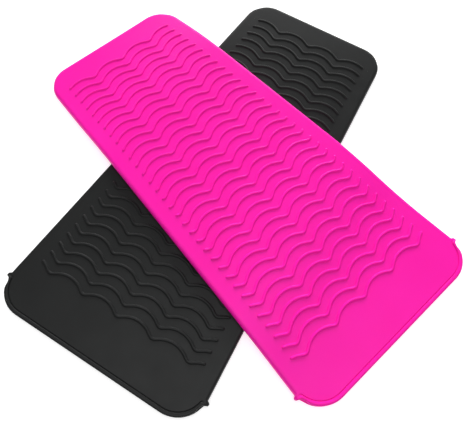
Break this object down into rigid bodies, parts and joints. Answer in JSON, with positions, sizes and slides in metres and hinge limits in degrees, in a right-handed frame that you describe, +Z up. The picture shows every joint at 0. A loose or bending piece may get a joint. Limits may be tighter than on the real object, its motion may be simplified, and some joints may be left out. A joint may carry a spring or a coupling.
{
  "type": "silicone heat pouch set",
  "caption": "Pair of tapered silicone heat-resistant pouches for hot hair tools, with wavy ribbed tops and open wide mouths, one laid across the other.",
  "frame": {"origin": "on the table under the middle of the pair's bounding box", "axes": "+Z up; -Y runs halfway between the two mouths, so the black pouch's mouth faces lower left (-X -Y) and the pink pouch's mouth faces lower right (+X -Y)"},
  "size_m": [0.2808, 0.2962, 0.0126],
  "materials": {
    "black_silicone": "satin moulded silicone",
    "pink_silicone": "satin moulded silicone"
  },
  "bodies": {
    "black_pouch": {"black_lower_sheet": "black_silicone", "black_upper_sheet": "black_silicone", "black_closed_end_wall": "black_silicone", "black_left_wall": "black_silicone", "black_right_wall": "black_silicone", "black_lower_rim": "black_silicone", "black_left_nub": "black_silicone", "black_right_nub": "black_silicone", "black_grip_ribs": "black_silicone"},
    "black_lip": {"black_upper_lip": "black_silicone", "black_upper_rim": "black_silicone"},
    "pink_pouch": {"pink_lower_sheet": "pink_silicone", "pink_upper_sheet": "pink_silicone", "pink_closed_end_wall": "pink_silicone", "pink_left_wall": "pink_silicone", "pink_right_wall": "pink_silicone", "pink_lower_rim": "pink_silicone", "pink_left_nub": "pink_silicone", "pink_right_nub": "pink_silicone", "pink_grip_ribs": "pink_silicone"},
    "pink_lip": {"pink_upper_lip": "pink_silicone", "pink_upper_rim": "pink_silicone"}
  },
  "joints": [
    {"name": "black_lip_lift", "type": "hinge", "parent": "black_pouch", "child": "black_lip", "pos_m": [-0.08313, -0.10069, 0.0052], "axis": [-0.8028, 0.5962, 0], "range_deg": [0, 50]},
    {"name": "pink_lift", "type": "slide", "parent": "black_pouch", "child": "pink_pouch", "axis": [0, 0, 1], "range_m": [0, 0.12]},
    {"name": "pink_lip_lift", "type": "hinge", "parent": "pink_pouch", "child": "pink_lip", "pos_m": [0.08313, -0.10246, 0.00582], "axis": [-0.8028, -0.5962, 0], "range_deg": [0, 50]}
  ]
}
